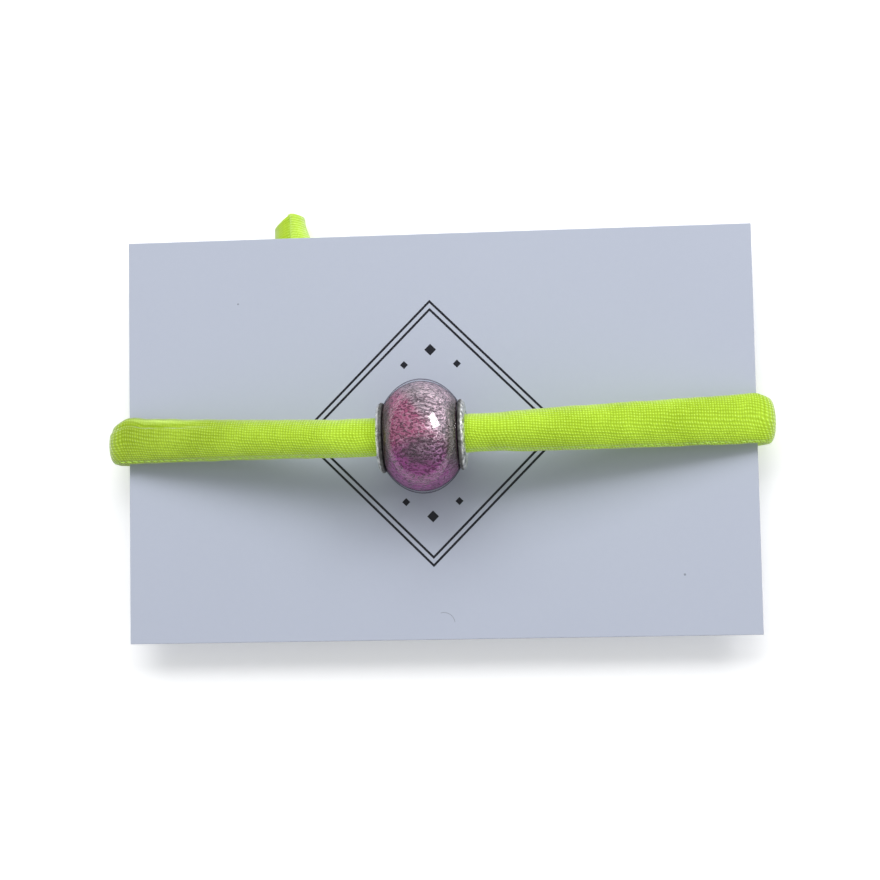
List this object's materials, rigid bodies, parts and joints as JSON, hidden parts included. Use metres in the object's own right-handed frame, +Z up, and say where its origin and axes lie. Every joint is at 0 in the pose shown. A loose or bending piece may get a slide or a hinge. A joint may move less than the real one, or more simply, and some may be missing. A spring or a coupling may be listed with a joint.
{
  "type": "bead bracelet on display card",
  "caption": "Elastic fabric cord bracelet with a large-hole glass bead in metal eyelets, knotted behind a rectangular paper display card that slides out of the loop.",
  "frame": {"origin": "middle of the footprint, on the surface the part lies on", "axes": "+X along the card's long side, +Y towards the edge that the cut tails pass, +Z up through the printed face"},
  "size_m": [0.0904, 0.059, 0.0209],
  "materials": {
    "card_paper": "matt coated board",
    "knit_cover": "fine ribbed elastic knit",
    "filler_yarn": "soft loose yarn",
    "clear_glass": "polished",
    "glitter_foil": "crinkled glitter foil",
    "tinted_glass": "tinted, polished",
    "silvered_brass": "bright silver plate"
  },
  "bodies": {
    "band": {"band_cover": "knit_cover", "band_filler": "filler_yarn", "knot": "knit_cover", "tail_left_cover": "knit_cover", "tail_left_filler": "filler_yarn", "tail_right_cover": "knit_cover", "tail_right_filler": "filler_yarn"},
    "card": {"display_card": "card_paper"},
    "bead_core": {"eyelet_left": "silvered_brass", "eyelet_right": "silvered_brass"},
    "bead_glass": {"glass_casing": "clear_glass", "foil_layer": "glitter_foil", "glass_base": "tinted_glass"}
  },
  "joints": [
    {"name": "card_slide", "type": "slide", "parent": "band", "child": "card", "axis": [0, -1, 0], "range_m": [-0.034, 0.034]},
    {"name": "bead_slide", "type": "slide", "parent": "band", "child": "bead_core", "axis": [0.9998, 0.0209, 0], "range_m": [-0.004, 0.004]},
    {"name": "bead_spin", "type": "hinge", "parent": "bead_core", "child": "bead_glass", "pos_m": [-0.00135, -0.00275, 0.0134], "axis": [0.9998, 0.0209, 0], "continuous": true}
  ]
}
